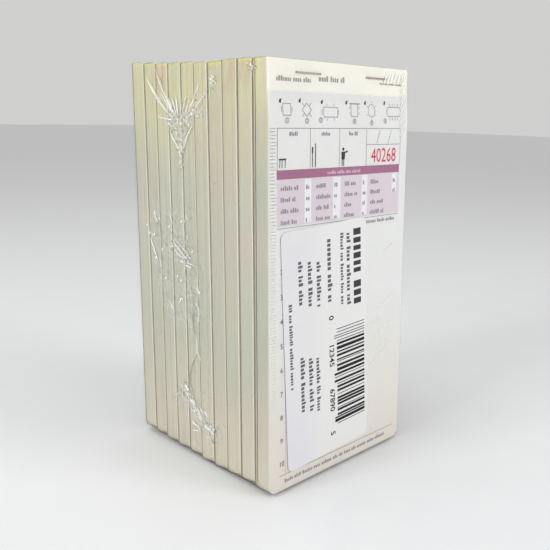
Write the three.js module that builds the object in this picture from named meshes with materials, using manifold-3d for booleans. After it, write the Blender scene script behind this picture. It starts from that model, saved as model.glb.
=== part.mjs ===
// A shrink-wrapped pack of ten order pads, standing on its short side.
// Millimetres, +Z up, the front pad's face towards -Y, the pads one behind another along +Y.
// The origin is the centre of the pack's base.
import * as THREE from "three";
import { mergeVertices } from "three/addons/utils/BufferGeometryUtils.js";
import Module from "manifold-3d";

const wasm = await Module();
wasm.setup();

// Pad
const PAD_WIDTH = 86;
const PAD_HEIGHT = 172;
const FOOT_CORNER = 3; // radius of the two lower corners; the stub end is cut square
const LEAVES = 100; // fifty two-part sets
const LEAF_THICKNESS = 0.071;
const BOARD_THICKNESS = 0.6;
const PRESSED_GAP = 0.02; // between faces that are pressed together
const SWELL = 0.95; // how far the leaves spring forward where the staples don't press them flat
const SWELL_START_FROM_TOP = 22; // the swelling eases off from here up
const SWELL_END_FROM_TOP = 6.5;
const SWELL_STEPS = 4;

// Stub and perforation
const STUB_HEIGHT = 12;
const PERFORATION_CUT = 4.6;
const PERFORATION_TIE = 1.4;
const PERFORATION_SLIT = 0.3;

// Staples
const WIRE_THICKNESS = 0.5; // along the leg's bend
const WIRE_WIDTH = 0.6;
const CROWN_LENGTH = 14.2;
const CLINCH_LENGTH = 4.6;
const CHISEL_CUT = 0.4; // how far the tip's slanted end runs
const BEND_RADIUS = 0.1; // on the inside of each bend
const STAPLE_OFFSET = 21; // from the pad's middle to each crown's middle
const STAPLE_FROM_TOP = 4.6;
const LEG_CLEARANCE = 0.15;

// Pack: how far each pad stands above the lowest one and how far it is out of line sideways,
// from the front pad to the back one
const PAD_RISE = [0.8, 0.8, 0.6, 0, 0.1, 0.3, 0.4, 0.6, 0.9, 1.2];
const PAD_SHIFT = [0, 0.2, -0.15, 0.1, -0.2, 0.15, 0, -0.1, 0.2, 0];
const LEAN = THREE.MathUtils.degToRad(2); // the pads lean back a little in the film

// Film
const FILM_CLEARANCE = 0.1;
const FILM_THICKNESS = 0.1;
const FLAT_UNDER = [2, 9]; // the film is flat under these pads and all between them
const SEAL_WIDTH = 1.2;
const SEAL_HEIGHT = 0.25;
const SEAL_START = 3; // above the base
const SEAL_SETBACK = -2; // of the seal's foot from the middle of the pack
const SEAL_TILT = THREE.MathUtils.degToRad(5.2);
const VENT_DIAMETER = 4;
const VENT_HEIGHT = 110;
const VENT_DEPTH = 50; // behind the front pad's face

// Label
const LABEL_WIDTH = 52;
const LABEL_HEIGHT = 101;
const LABEL_THICKNESS = 0.1;
const LABEL_CORNER = 3;
const LABEL_CENTRE_X = -9;
const LABEL_CENTRE_HEIGHT = 58; // up the film's front from its lower edge
const LABEL_TURN = THREE.MathUtils.degToRad(2.6);

const CORNER_STEPS = 4; // facets round a corner of a sheet

// Worked out from the sizes above
const BLOCK_THICKNESS = (LEAVES - 1) * LEAF_THICKNESS;
const BLOCK_FRONT = LEAF_THICKNESS + PRESSED_GAP;
const BOARD_FRONT = BLOCK_FRONT + BLOCK_THICKNESS + PRESSED_GAP;
const PAD_THICKNESS = BOARD_FRONT + BOARD_THICKNESS;
const CROWN_FRONT = -(PRESSED_GAP + WIRE_THICKNESS);
const CLINCH_BACK = PAD_THICKNESS + PRESSED_GAP + WIRE_THICKNESS;
const PAD_PITCH = CLINCH_BACK - CROWN_FRONT + PRESSED_GAP;
const SWELL_START = PAD_HEIGHT - SWELL_START_FROM_TOP;
const SWELL_END = PAD_HEIGHT - SWELL_END_FROM_TOP;
const STAPLE_Z = PAD_HEIGHT - STAPLE_FROM_TOP;
const FILM_REACH = FILM_CLEARANCE + FILM_THICKNESS;

const materials = {
  topLeaf: new THREE.MeshStandardMaterial({ color: 0xe4e5ea, roughness: 0.8 }),
  leafBlock: new THREE.MeshStandardMaterial({ color: 0xc9c8b6, roughness: 0.9 }),
  board: new THREE.MeshStandardMaterial({ color: 0x8d8578, roughness: 0.95 }),
  staple: new THREE.MeshStandardMaterial({ color: 0x8f9094, roughness: 0.35, metalness: 1 }),
  film: new THREE.MeshStandardMaterial({
    color: 0xffffff,
    roughness: 0.12,
    transparent: true,
    opacity: 0.2,
  }),
  label: new THREE.MeshStandardMaterial({ color: 0xf0eff4, roughness: 0.6 }),
};

function named(name, geometry, material) {
  const mesh = new THREE.Mesh(geometry, material);
  mesh.name = name;
  return mesh;
}

// Solids for cutting and joining

function toSolid(geometry) {
  const bare = geometry.clone();
  bare.deleteAttribute("normal");
  bare.deleteAttribute("uv");
  const merged = mergeVertices(bare, 1e-4);
  return new wasm.Manifold(
    new wasm.Mesh({
      numProp: 3,
      vertProperties: new Float32Array(merged.attributes.position.array),
      triVerts: new Uint32Array(merged.index.array),
    }),
  );
}

function toGeometry(solid) {
  const mesh = solid.getMesh();
  const geometry = new THREE.BufferGeometry();
  geometry.setAttribute("position", new THREE.BufferAttribute(mesh.vertProperties, 3));
  geometry.setIndex(new THREE.BufferAttribute(mesh.triVerts, 1));
  const faceted = geometry.toNonIndexed();
  faceted.computeVertexNormals();
  return faceted;
}

// Flat sheets: an outline across and up the pad, with its thickness going back from a given depth

function roundFooted(left, right, low, high, radius) {
  const quarter = Math.PI / 2;
  const shape = new THREE.Shape();
  shape.moveTo(right, high);
  shape.lineTo(left, high);
  shape.absarc(left + radius, low + radius, radius, 2 * quarter, 3 * quarter, false);
  shape.absarc(right - radius, low + radius, radius, 3 * quarter, 4 * quarter, false);
  return shape.getPoints(CORNER_STEPS);
}

function sheet(outline, depth, thickness) {
  const shape = new THREE.Shape(outline);
  const geometry = new THREE.ExtrudeGeometry(shape, { depth: thickness, bevelEnabled: false });
  geometry.rotateX(Math.PI / 2);
  geometry.translate(0, depth + thickness, 0);
  return geometry;
}

// A side view's outline, given as (y, z), drawn across from left to right
function drawnAcross(points, left, right) {
  const geometry = new THREE.ExtrudeGeometry(new THREE.Shape(points), {
    depth: right - left,
    bevelEnabled: false,
  });
  // the outline's (y, z) and the extrusion's depth become Y, Z and X
  const turn = new THREE.Matrix4().set(0, 0, 1, left, 1, 0, 0, 0, 0, 1, 0, 0, 0, 0, 0, 1);
  return geometry.applyMatrix4(turn);
}

// A box that runs right through the pad, to cut a hole of this width and height
function punch(x, z, width, height) {
  const box = new THREE.BoxGeometry(width, 3 * PAD_THICKNESS, height);
  box.translate(x, PAD_THICKNESS / 2, z);
  return toSolid(box);
}

function legPunches() {
  const legFromCrownMiddle = (CROWN_LENGTH - WIRE_THICKNESS) / 2;
  const across = WIRE_THICKNESS + 2 * LEG_CLEARANCE;
  const up = WIRE_WIDTH + 2 * LEG_CLEARANCE;
  const punches = [];
  for (const side of [-1, 1]) {
    for (const leg of [-1, 1]) {
      punches.push(punch(side * STAPLE_OFFSET + leg * legFromCrownMiddle, STAPLE_Z, across, up));
    }
  }
  return punches;
}

// The cuts of the tear line are spread evenly, with a tie at each side edge
function perforationPunches() {
  const step = PERFORATION_CUT + PERFORATION_TIE;
  const count = Math.floor((PAD_WIDTH - PERFORATION_TIE) / step);
  const punches = [];
  for (let i = 0; i < count; i += 1) {
    const x = (i - (count - 1) / 2) * step;
    punches.push(punch(x, PAD_HEIGHT - STUB_HEIGHT, PERFORATION_CUT, PERFORATION_SLIT));
  }
  return punches;
}

// One face of a swollen sheet in side view, from the foot up, run on past the sheet at both ends
function swollenFace(depth) {
  const beyond = FOOT_CORNER;
  const face = [new THREE.Vector2(depth - SWELL, -beyond)];
  for (let i = 0; i <= SWELL_STEPS; i += 1) {
    const share = i / SWELL_STEPS;
    const swell = SWELL * (1 - THREE.MathUtils.smoothstep(share, 0, 1));
    face.push(new THREE.Vector2(depth - swell, THREE.MathUtils.lerp(SWELL_START, SWELL_END, share)));
  }
  face.push(new THREE.Vector2(depth, PAD_HEIGHT + beyond));
  return face;
}

function flatFace(depth) {
  const beyond = FOOT_CORNER;
  return [new THREE.Vector2(depth, -beyond), new THREE.Vector2(depth, PAD_HEIGHT + beyond)];
}

// A sheet the size of the pad between two faces in side view, with holes cut through it
function padSheet(front, back, punches) {
  const outline = roundFooted(-PAD_WIDTH / 2, PAD_WIDTH / 2, 0, PAD_HEIGHT, FOOT_CORNER);
  const slab = drawnAcross([...back, ...front.reverse()], -PAD_WIDTH, PAD_WIDTH);
  let solid = toSolid(slab).intersect(toSolid(sheet(outline, -PAD_THICKNESS, 3 * PAD_THICKNESS)));
  for (const one of punches) {
    solid = solid.subtract(one);
  }
  return toGeometry(solid);
}

function padSheets() {
  const legs = legPunches();
  const leafHoles = [...legs, ...perforationPunches()];
  const blockBack = BLOCK_FRONT + BLOCK_THICKNESS;
  const boardBack = BOARD_FRONT + BOARD_THICKNESS;
  return {
    leaf: padSheet(swollenFace(0), swollenFace(LEAF_THICKNESS), leafHoles),
    block: padSheet(swollenFace(BLOCK_FRONT), flatFace(blockBack), leafHoles),
    board: padSheet(flatFace(BOARD_FRONT), flatFace(boardBack), legs),
  };
}

// A staple is one bent wire: crown in front of the leaves, a leg through the pad at each end,
// and the ends clinched inwards on the back of the board
function staple() {
  const half = CROWN_LENGTH / 2;
  const outer = BEND_RADIUS + WIRE_THICKNESS;
  const under = CROWN_FRONT + WIRE_THICKNESS;
  const clinchFront = CLINCH_BACK - WIRE_THICKNESS;
  const bend = half - outer;
  const tip = half - CLINCH_LENGTH;
  const quarter = Math.PI / 2;
  const wire = new THREE.Shape();
  wire.moveTo(-bend, CROWN_FRONT);
  wire.lineTo(bend, CROWN_FRONT);
  wire.absarc(bend, CROWN_FRONT + outer, outer, -quarter, 0, false);
  wire.absarc(bend, CLINCH_BACK - outer, outer, 0, quarter, false);
  wire.lineTo(tip + CHISEL_CUT, CLINCH_BACK);
  wire.lineTo(tip, clinchFront);
  wire.absarc(bend, clinchFront - BEND_RADIUS, BEND_RADIUS, quarter, 0, true);
  wire.absarc(bend, under + BEND_RADIUS, BEND_RADIUS, 0, -quarter, true);
  wire.absarc(-bend, under + BEND_RADIUS, BEND_RADIUS, -quarter, -2 * quarter, true);
  wire.absarc(-bend, clinchFront - BEND_RADIUS, BEND_RADIUS, 2 * quarter, quarter, true);
  wire.lineTo(-tip, clinchFront);
  wire.lineTo(-tip - CHISEL_CUT, CLINCH_BACK);
  wire.absarc(-bend, CLINCH_BACK - outer, outer, quarter, 2 * quarter, false);
  wire.absarc(-bend, CROWN_FRONT + outer, outer, 2 * quarter, 3 * quarter, false);
  const geometry = new THREE.ExtrudeGeometry(wire, {
    depth: WIRE_WIDTH,
    bevelEnabled: false,
    curveSegments: 2,
  });
  geometry.translate(0, 0, STAPLE_Z - WIRE_WIDTH / 2);
  return geometry;
}

// One pad in its own frame: its lower edge is at height 0, and depth 0 is the top leaf's face under
// the staples
function pad(number, shapes) {
  const prefix = `pad_${String(number).padStart(2, "0")}_`;
  const group = new THREE.Group();
  group.add(named(`${prefix}backing_board`, shapes.board, materials.board));
  group.add(named(`${prefix}leaf_block`, shapes.block, materials.leafBlock));
  group.add(named(`${prefix}top_leaf`, shapes.leaf, materials.topLeaf));
  const left = named(`${prefix}staple_left`, shapes.staple, materials.staple);
  left.position.x = -STAPLE_OFFSET;
  const right = named(`${prefix}staple_right`, shapes.staple, materials.staple);
  right.position.x = STAPLE_OFFSET;
  group.add(left, right);
  return group;
}

// The pads stand one behind another; each leans back and bears on the lower edge of its board
function stack() {
  const shapes = { ...padSheets(), staple: staple() };
  const group = new THREE.Group();
  PAD_RISE.forEach((rise, index) => {
    const one = pad(index + 1, shapes);
    one.rotation.x = -LEAN;
    one.position.set(
      PAD_SHIFT[index],
      (index * PAD_PITCH) / Math.cos(LEAN),
      rise + PAD_THICKNESS * Math.sin(LEAN),
    );
    group.add(one);
  });
  return group;
}

// Film

// The side view's corners, as (y, z): every pad's corners, the staples that stand proud, and the
// two ends of the flat part of the film's base
function sideCorners(pads) {
  const corners = [];
  for (const one of pads.children) {
    one.updateMatrix();
    const local = [
      [-SWELL, 0],
      [-SWELL, SWELL_START],
      [PAD_THICKNESS, 0],
      [PAD_THICKNESS, PAD_HEIGHT],
      [0, PAD_HEIGHT],
      [CROWN_FRONT, STAPLE_Z - WIRE_WIDTH / 2],
      [CROWN_FRONT, STAPLE_Z + WIRE_WIDTH / 2],
      [CLINCH_BACK, STAPLE_Z - WIRE_WIDTH / 2],
      [CLINCH_BACK, STAPLE_Z + WIRE_WIDTH / 2],
    ];
    for (const [depth, height] of local) {
      const corner = new THREE.Vector3(0, depth, height).applyMatrix4(one.matrix);
      corners.push(new THREE.Vector2(corner.y, corner.z));
    }
  }
  const lowest = Math.min(...corners.map((corner) => corner.y));
  const [first, last] = FLAT_UNDER.map((number) => pads.children[number - 1].position.y);
  corners.push(new THREE.Vector2(first, lowest), new THREE.Vector2(last + PAD_THICKNESS, lowest));
  return corners;
}

// The convex outline of a set of points, anticlockwise, without points that hardly turn it
function convexOutline(points) {
  const sorted = [...points].sort((a, b) => a.x - b.x || a.y - b.y);
  const turns = (o, a, b) => (a.x - o.x) * (b.y - o.y) - (a.y - o.y) * (b.x - o.x);
  const halfOutline = (ordered) => {
    const chain = [];
    for (const point of ordered) {
      while (chain.length > 1 && turns(chain.at(-2), chain.at(-1), point) < 1e-3) {
        chain.pop();
      }
      chain.push(point);
    }
    return chain.slice(0, -1);
  };
  return [...halfOutline(sorted), ...halfOutline(sorted.reverse())];
}

// The outline moved outwards by a radius, with an arc round each corner that turns enough
function roundedOutline(corners, radius) {
  const arcStep = Math.PI / 8;
  const rounded = [];
  corners.forEach((corner, index) => {
    const before = corners.at(index - 1);
    const after = corners[(index + 1) % corners.length];
    const start = Math.atan2(corner.y - before.y, corner.x - before.x) - Math.PI / 2;
    const end = Math.atan2(after.y - corner.y, after.x - corner.x) - Math.PI / 2;
    const turn = THREE.MathUtils.euclideanModulo(end - start, 2 * Math.PI);
    const steps = Math.round(turn / arcStep);
    for (let i = 0; i <= steps; i += 1) {
      const angle = start + turn * (steps > 0 ? i / steps : 0.5);
      rounded.push(new THREE.Vector2(
        corner.x + radius * Math.cos(angle),
        corner.y + radius * Math.sin(angle),
      ));
    }
  });
  return rounded;
}

// A closed solid that stands off the pads by a reach on every side: the side view's outline drawn
// across the pack, cut by the front view's outline with its rounded foot, drawn through the pack
function wrapSolid(corners, left, right, reach) {
  const side = new THREE.Box2().setFromPoints(corners);
  const beyond = 2 * reach; // each outline is drawn past the other one's sides
  const across = drawnAcross(roundedOutline(corners, reach), left - beyond, right + beyond);
  const low = side.min.y - reach;
  const front = roundFooted(left - reach, right + reach, low, side.max.y + beyond, FOOT_CORNER + reach);
  const through = sheet(front, side.min.x - beyond, side.max.x - side.min.x + 2 * beyond);
  return toSolid(across).intersect(toSolid(through));
}

// The heat seal: a low ridge that slants up the left side and across the top, near the middle.
// It is pressed flat under the pack, so it starts a little above the base.
function sealSolid(corners, left, right) {
  const proud = wrapSolid(corners, left, right, FILM_REACH + SEAL_HEIGHT);
  const slabWidth = 2 * (right - left);
  const slabHeight = 2 * PAD_HEIGHT;
  const middle = ((PAD_RISE.length - 1) * PAD_PITCH) / Math.cos(LEAN) / 2 + PAD_THICKNESS / 2;
  const centreHeight = SEAL_START + slabHeight / 2;
  const slab = new THREE.BoxGeometry(slabWidth, SEAL_WIDTH, slabHeight);
  slab.rotateX(-SEAL_TILT);
  const depth = middle + SEAL_SETBACK + centreHeight * Math.tan(SEAL_TILT);
  slab.translate(right - slabWidth / 2, depth, centreHeight);
  return proud.intersect(toSolid(slab));
}

// A punched hole on the right side, which let the air out while the film shrank
function ventSolid(right) {
  const radius = VENT_DIAMETER / 2;
  const pin = new THREE.CylinderGeometry(radius, radius, VENT_DIAMETER, 4 * CORNER_STEPS);
  pin.rotateZ(Math.PI / 2);
  pin.translate(right + FILM_REACH, VENT_DEPTH, VENT_HEIGHT);
  return toSolid(pin);
}

function film(corners, left, right) {
  const outside = wrapSolid(corners, left, right, FILM_REACH);
  const inside = wrapSolid(corners, left, right, FILM_CLEARANCE);
  const skin = outside.add(sealSolid(corners, left, right)).subtract(inside);
  return toGeometry(skin.subtract(ventSolid(right)));
}

// Label

function roundedRectangle(width, height, radius) {
  const [across, up] = [width / 2 - radius, height / 2 - radius];
  const quarter = Math.PI / 2;
  const shape = new THREE.Shape();
  shape.absarc(across, up, radius, 0, quarter, false);
  shape.absarc(-across, up, radius, quarter, 2 * quarter, false);
  shape.absarc(-across, -up, radius, 2 * quarter, 3 * quarter, false);
  shape.absarc(across, -up, radius, 3 * quarter, 4 * quarter, false);
  return shape.getPoints(CORNER_STEPS);
}

// The film's flat front lies between the front pad's foot and its staple crowns
function frontEdge(corners) {
  let edge = { length: 0 };
  corners.forEach((top, index) => {
    const foot = corners[(index + 1) % corners.length];
    const length = top.distanceTo(foot);
    if (foot.y < top.y && length > edge.length) {
      edge = { top, foot, length };
    }
  });
  return edge;
}

function label(corners) {
  const { top, foot } = frontEdge(corners);
  const lean = Math.atan2(top.x - foot.x, top.y - foot.y);
  const standOff = FILM_REACH + PRESSED_GAP;
  const outline = roundedRectangle(LABEL_WIDTH, LABEL_HEIGHT, LABEL_CORNER);
  const flat = sheet(outline, -LABEL_THICKNESS, LABEL_THICKNESS);
  const sticker = named("pack_label", flat, materials.label);
  sticker.position.set(LABEL_CENTRE_X, 0, LABEL_CENTRE_HEIGHT);
  sticker.rotation.y = -LABEL_TURN;
  const front = new THREE.Group();
  front.rotation.x = -lean;
  front.position.set(0, foot.x - standOff * Math.cos(lean), foot.y + standOff * Math.sin(lean));
  front.add(sticker);
  return front;
}

// The pack, moved so that the middle of its base is the origin
const pads = stack();
const outline = convexOutline(sideCorners(pads));
const leftSide = -PAD_WIDTH / 2 + Math.min(...PAD_SHIFT);
const rightSide = PAD_WIDTH / 2 + Math.max(...PAD_SHIFT);
const pack = new THREE.Group();
pack.add(pads, named("shrink_film", film(outline, leftSide, rightSide), materials.film), label(outline));
const bounds = new THREE.Box3().setFromObject(pack, true);
const centre = bounds.getCenter(new THREE.Vector3());
pack.position.set(-centre.x, -centre.y, -bounds.min.z);

const root = new THREE.Group();
root.add(pack);

export default root;
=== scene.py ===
"""Looks of a shrink-wrapped pack of order pads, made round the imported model."""
import math
import random

import bpy
import numpy as np
from mathutils import Matrix, Vector


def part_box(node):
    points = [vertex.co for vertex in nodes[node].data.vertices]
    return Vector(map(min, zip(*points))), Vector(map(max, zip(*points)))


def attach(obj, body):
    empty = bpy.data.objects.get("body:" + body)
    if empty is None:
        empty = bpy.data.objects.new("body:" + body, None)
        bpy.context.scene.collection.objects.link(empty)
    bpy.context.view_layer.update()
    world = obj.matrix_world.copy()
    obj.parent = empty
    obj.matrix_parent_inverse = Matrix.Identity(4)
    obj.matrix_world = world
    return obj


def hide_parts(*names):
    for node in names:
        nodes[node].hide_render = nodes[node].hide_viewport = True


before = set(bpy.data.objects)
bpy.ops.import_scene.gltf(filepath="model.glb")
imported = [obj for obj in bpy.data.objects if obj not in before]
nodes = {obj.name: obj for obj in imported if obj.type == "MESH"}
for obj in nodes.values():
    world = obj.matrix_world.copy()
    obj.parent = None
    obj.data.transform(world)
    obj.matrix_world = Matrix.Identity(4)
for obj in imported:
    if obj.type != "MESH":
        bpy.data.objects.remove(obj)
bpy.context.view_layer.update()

MM = 0.001
PADS = 10

# Sizes that the model also has, in millimetres
PAD_WIDTH = 86
PAD_HEIGHT = 172
FOOT_CORNER = 3
LEAF_THICKNESS = 0.071
INNER_LEAVES = 99
BOARD_THICKNESS = 0.6
PRESSED_GAP = 0.02
SWELL = 0.95
SWELL_START, SWELL_END, SWELL_STEPS = 150, 165.5, 4
FILM_REACH = 0.2
SEAL_HEIGHT = 0.25

BLOCK_FRONT = LEAF_THICKNESS + PRESSED_GAP
BLOCK_DEPTH = INNER_LEAVES * LEAF_THICKNESS
PAD_DEPTH = BLOCK_FRONT + BLOCK_DEPTH + PRESSED_GAP + BOARD_THICKNESS

# Heights at which the leaves bend back from their swollen face, and how far back they are there
BEND_SHARES = np.linspace(0, 1, SWELL_STEPS + 1)
BEND_HEIGHTS = SWELL_START + (SWELL_END - SWELL_START) * BEND_SHARES
BEND_FALLS = SWELL * BEND_SHARES ** 2 * (3 - 2 * BEND_SHARES)


# Materials

class Shader:
    """A material's node tree, with short calls that add nodes to it."""

    def __init__(self, name):
        self.material = bpy.data.materials.new(name)
        self.material.use_nodes = True
        self.tree = self.material.node_tree
        self.tree.nodes.clear()
        self.output = self.tree.nodes.new("ShaderNodeOutputMaterial")

    def node(self, kind, inputs=None, **settings):
        made = self.tree.nodes.new("ShaderNode" + kind)
        for key, value in settings.items():
            setattr(made, key, value)
        for key, value in (inputs or {}).items():
            self.feed(made.inputs[key], value)
        return made

    def feed(self, socket, value):
        if isinstance(value, bpy.types.NodeSocket):
            self.tree.links.new(value, socket)
        else:
            socket.default_value = value

    def principled(self, **inputs):
        named = {key.replace("_", " "): value for key, value in inputs.items()}
        shader = self.node("BsdfPrincipled", named)
        self.feed(self.output.inputs["Surface"], shader.outputs[0])
        return self.material

    def surface(self, name="Position"):
        return self.node("NewGeometry").outputs[name]

    def axis(self, name, of="Position"):
        return self.node("SeparateXYZ", {"Vector": self.surface(of)}).outputs[name]

    def noise(self, scale, detail=3, roughness=0.5):
        """Noise over the place on the pack in metres, times a scale for each axis."""
        spread = self.node("Mapping", {"Vector": self.surface(), "Scale": scale}).outputs[0]
        inputs = {"Vector": spread, "Scale": 1, "Detail": detail, "Roughness": roughness}
        return self.node("TexNoise", inputs).outputs["Fac"]

    def span(self, value, low, high, to_low=0, to_high=1):
        """The value taken from one range to another, and kept inside it."""
        return self.node("MapRange", {
            "Value": value, "From Min": low, "From Max": high, "To Min": to_low, "To Max": to_high,
        }).outputs["Result"]

    def times(self, a, b):
        return self.node("Math", {0: a, 1: b}, operation="MULTIPLY").outputs[0]

    def mix(self, factor, a, b):
        return self.node("Mix", {0: factor, 6: a, 7: b}, data_type="RGBA").outputs[2]

    def over(self, share, *rgb):
        """Lays a colour over the tone so far, by a share."""
        self.tone = self.mix(share, self.tone, colour(*rgb))

    def attribute(self, name, output="Fac"):
        return self.node("Attribute", attribute_name=name).outputs[output]

    def bump(self, height, strength, distance):
        inputs = {"Height": height, "Strength": strength, "Distance": distance}
        return self.node("Bump", inputs).outputs[0]


def colour(red, green, blue):
    """A colour given as it is seen, from 0 to 255, in the linear values that shaders take."""
    linear = []
    for value in (red, green, blue):
        share = value / 255
        linear.append(share / 12.92 if share <= 0.04045 else ((share + 0.055) / 1.055) ** 2.4)
    return (*linear, 1)


def leaf_face_material():
    """White uncoated paper, warm at the foot and cooler between; the stub is warm and painted lighter, a
    painted highlight where it bends back towards the lamps.
    """
    s = Shader("leaf_paper_face")
    height = s.axis("Z")
    fibres = s.noise((900, 900, 900), 4, 0.6)
    clouds = s.noise((45, 45, 45))
    s.tone = colour(229, 230, 229)
    # painted highlight: the stub is warm and also painted lighter where it bends back towards the lamps
    s.over(s.span(height, 0.1605, 0.1625), 243, 241, 231)
    s.over(s.span(height, 0.075, 0), 225, 219, 208)
    s.over(s.span(clouds, 0.35, 0.75, 0, 0.3), 221, 222, 217)
    return s.principled(Base_Color=s.tone, Roughness=0.82, Normal=s.bump(fibres, 0.25, 0.00004))


def leaf_edge_material():
    """Cut paper edges: each leaf has its own tint, and some pads have stained or yellow tops."""
    s = Shader("leaf_paper_edges")
    marks = s.node("SeparateColor", {"Color": s.attribute("marks", "Color")}).outputs
    height = s.axis("Z")
    up = s.attribute("up")
    mottle = s.noise((60, 160, 60), 4)
    patches = s.noise((25, 45, 18), 2)
    s.tone = tint = s.attribute("tint", "Color")
    s.over(s.span(height, 0.125, 0.16, 0, 0.75), 213, 210, 166)
    s.over(s.span(height, 0.055, 0, 0, 0.65), 222, 212, 195)
    s.over(s.span(patches, 0.4, 0.7, 0, 0.35), 180, 188, 172)
    s.over(s.span(s.noise((38, 30, 26), 2), 0.5, 0.72, 0, 0.3), 204, 188, 178)
    stained = s.times(s.span(mottle, 0.46, 0.6), s.span(up, 157, 166))
    s.over(s.times(stained, marks["Green"]), 198, 170, 158)
    facing_up = s.axis("Z", "Normal")
    rim = s.times(s.span(up, 170.3, 171.7), s.span(facing_up, 0.4, 0.9, 1, 0.4))
    s.over(s.times(rim, marks["Red"]), 221, 214, 112)
    s.tone = s.mix(marks["Blue"], s.tone, tint)
    streaks = s.noise((3, 5200, 4), 2)
    s.over(s.span(streaks, 0.35, 0.7, 0, 0.035), 150, 150, 130)
    return s.principled(Base_Color=s.tone, Roughness=0.9, Normal=s.bump(streaks, 0.1, 0.00004))


def board_material():
    """Raw grey-brown chipboard with short fibres and flecks."""
    s = Shader("chipboard")
    fibres = s.noise((700, 2500, 220), 5, 0.65)
    flecks = s.noise((1500, 1500, 1500), 2)
    s.tone = colour(120, 111, 96)
    s.over(s.span(fibres, 0.3, 0.7), 154, 144, 127)
    s.over(s.span(flecks, 0.64, 0.72, 0, 0.6), 88, 76, 62)
    return s.principled(Base_Color=s.tone, Roughness=0.93, Normal=s.bump(fibres, 0.5, 0.0001))


def wire_material():
    """Drawn steel wire, dull and a little dark, with lines along it; the dark is partly painted shade of
    the film lying over the staples.
    """
    s = Shader("staple_wire")
    lines = s.noise((120, 9000, 9000), 2)
    # steel tones darkened partly as painted shade of the film over the staples
    tone = s.mix(lines, colour(140, 134, 126), colour(182, 176, 168))
    return s.principled(Base_Color=tone, Metallic=1, Roughness=s.span(lines, 0.3, 0.7, 0.35, 0.5))


def label_material():
    """Smooth white label stock, which lets a little of the print under it show through."""
    s = Shader("label_paper")
    clouds = s.noise((30, 30, 55), 2)
    under = s.times(s.span(s.axis("X"), -0.01, -0.024), s.span(clouds, 0.3, 0.6, 0.4, 1))
    fine = s.noise((1200, 1200, 1200))
    tone = s.mix(under, colour(223, 223, 222), colour(217, 215, 220))
    return s.principled(Base_Color=tone, Roughness=0.55, Normal=s.bump(fine, 0.15, 0.00002))


INK_TONES = {
    "grey": (130, 130, 132), "text": (150, 145, 152), "stub": (156, 153, 148), "row": (108, 108, 110),
    "label": (92, 92, 96), "dark": (58, 58, 60), "black": (10, 10, 11), "purple": (168, 116, 145),
    "lilac": (219, 208, 216), "rose": (206, 176, 194), "red": (208, 56, 80), "pale": (214, 190, 204),
    "white": (233, 232, 234), "cool": (224, 224, 223),
}


def ink_material(name, tone):
    """Printed ink, a little uneven as it lies on paper fibres; black is the smoothest."""
    s = Shader(name + "_ink")
    uneven = s.noise((1600, 1600, 1600))
    lighter = [channel + 0.12 * channel * (1 - channel) for channel in tone[:3]] + [1]
    return s.principled(
        Base_Color=s.mix(s.span(uneven, 0.35, 0.75), tone, lighter),
        Roughness=0.5 if name == "black" else 0.7,
        Specular_IOR_Level=0.2,
    )


def film_material():
    """Clear shrink film: see-through, with a gloss that is broken by faint waves."""
    s = Shader("clear_film")
    normal = s.bump(s.noise((60, 90, 45), 4, 0.6), 0.5, 0.00015)
    gloss = s.node("BsdfGlossy", {"Color": (1, 1, 1, 1), "Roughness": 0.1, "Normal": normal})
    clear = s.node("BsdfTransparent")
    share = s.times(s.node("Fresnel", {"IOR": 1.4, "Normal": normal}).outputs[0], 0.6)
    whole = s.node("MixShader", {0: share, 1: clear.outputs[0], 2: gloss.outputs[0]})
    s.feed(s.output.inputs["Surface"], whole.outputs[0])
    return s.material


def fold_material():
    """Film where it is puckered: milky by as much as it is folded and bright on its crests, a white that
    is partly painted highlight; its grey is painted shade.
    """
    s = Shader("film_folds")
    fine = s.noise((900, 900, 900), 2)
    # the shade attribute picks between the white, partly a painted highlight, and the grey of painted
    # shade
    tone = s.mix(s.attribute("shade"), colour(251, 252, 246), colour(134, 134, 124))
    alpha = s.times(s.attribute("haze"), s.span(fine, 0.3, 0.6, 0.7, 1))
    return s.principled(Base_Color=tone, Roughness=0.22, Alpha=alpha)


def floor_material():
    """A pale table top; a faint grain keeps it from being one flat tone."""
    s = Shader("pale_floor")
    grain = s.noise((40, 40, 40))
    tone = s.mix(grain, (0.68, 0.69, 0.7, 1), (0.71, 0.72, 0.73, 1))
    return s.principled(Base_Color=tone, Roughness=0.3)


# Meshes and the flat sides they lie on

def linked(name, data):
    made = bpy.data.objects.new(name, data)
    bpy.context.scene.collection.objects.link(made)
    return made


def add_mesh(name, mesh, material, slot=None, stands_for=()):
    """A mesh in metres; with a slot, it is a piece of the pack and rides on it."""
    mesh.materials.clear()
    mesh.materials.append(material)
    made = linked(name, mesh)
    if slot:
        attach(made, "root")
    if stands_for:
        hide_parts(*stands_for)
    return made


def add_piece(name, vertices, faces, material, slot=None, stands_for=()):
    mesh = bpy.data.meshes.new(name)
    mesh.from_pydata([Vector(vertex) for vertex in vertices], [], faces)
    return add_mesh(name, mesh, material, slot, stands_for)


def set_values(piece, name, values):
    layer = piece.data.attributes.new(name, "FLOAT", "POINT")
    layer.data.foreach_set("value", np.asarray(values, np.float32))


def set_colours(piece, name, values):
    layer = piece.data.color_attributes.new(name, "FLOAT_COLOR", "POINT")
    layer.data.foreach_set("color", np.asarray(values, np.float32).ravel())


class Plane:
    """A flat side of the pack. Places on it are in millimetres: across, up and proud of it."""

    def __init__(self, foot, right, up, normal):
        self.foot, self.right, self.up, self.normal = map(Vector, (foot, right, up, normal))

    def point(self, across, up, proud=0):
        return self.foot + (self.right * across + self.up * up + self.normal * proud) * MM

    def moved_out(self, proud):
        return Plane(self.point(0, 0, proud), self.right, self.up, self.normal)


class BentPlane(Plane):
    """A side that falls back from its plane, by given amounts at given heights up it."""

    def __init__(self, plane, heights, falls):
        super().__init__(plane.foot, plane.right, plane.up, plane.normal)
        self.heights, self.falls = heights, falls

    def point(self, across, up, proud=0):
        return super().point(across, up, proud - float(np.interp(up, self.heights, self.falls)))


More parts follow.
